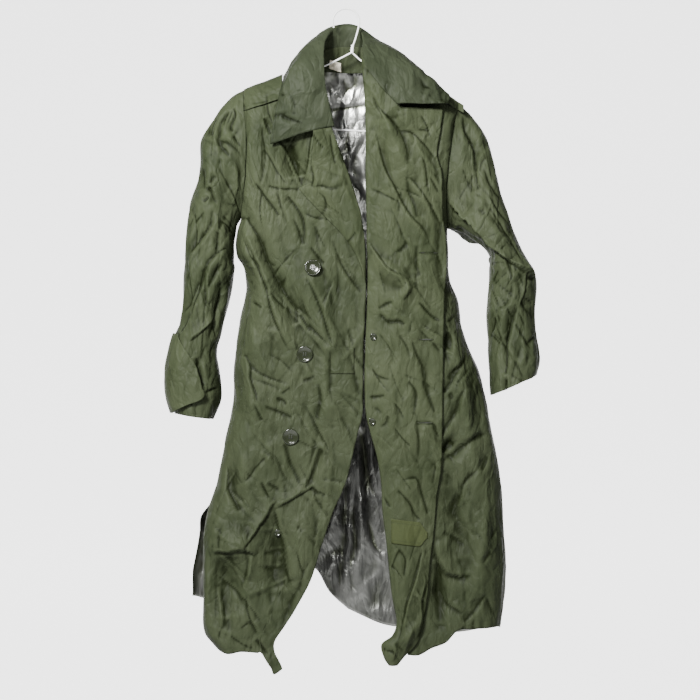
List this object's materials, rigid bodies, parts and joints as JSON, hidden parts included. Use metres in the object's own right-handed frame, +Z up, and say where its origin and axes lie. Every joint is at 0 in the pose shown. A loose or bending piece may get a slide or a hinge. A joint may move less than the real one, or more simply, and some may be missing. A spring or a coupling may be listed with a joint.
{
  "type": "raincoat on a wire hanger",
  "caption": "Olive double-breasted raincoat with turned-down collar, silver-coated inside, hung open on a white wire hanger.",
  "frame": {"origin": "inside top of the hanger's hook, where a rail or wall hook holds it", "axes": "+Z up, front of the coat toward -Y, +X to the right of someone who looks at the front"},
  "size_m": [0.6953, 0.1579, 1.2337],
  "materials": {
    "shell": "coated nylon, olive outside and silver grey inside, creased",
    "button": "polished, worn at the rim",
    "wire": "white vinyl coat, satin",
    "label": "woven cotton tape, blank"
  },
  "bodies": {
    "root": {"hanger": "wire", "front_right": "shell", "front_left": "shell", "lapel_right": "shell", "facing_left": "shell", "back_right": "shell", "back_left": "shell", "collar": "shell", "neck_facing": "shell", "label": "label", "sleeve_outer_right": "shell", "sleeve_inner_right": "shell", "sleeve_outer_left": "shell", "sleeve_inner_left": "shell", "cuff_flap_right": "shell", "shoulder_loop_right": "shell", "shoulder_loop_left": "shell", "edge_patch_right": "shell", "facing_tab_left": "shell", "front_button_1": "button", "front_button_2": "button", "front_button_3": "button", "front_button_4": "button", "facing_button_1": "button", "facing_button_2": "button"}
  },
  "joints": []
}
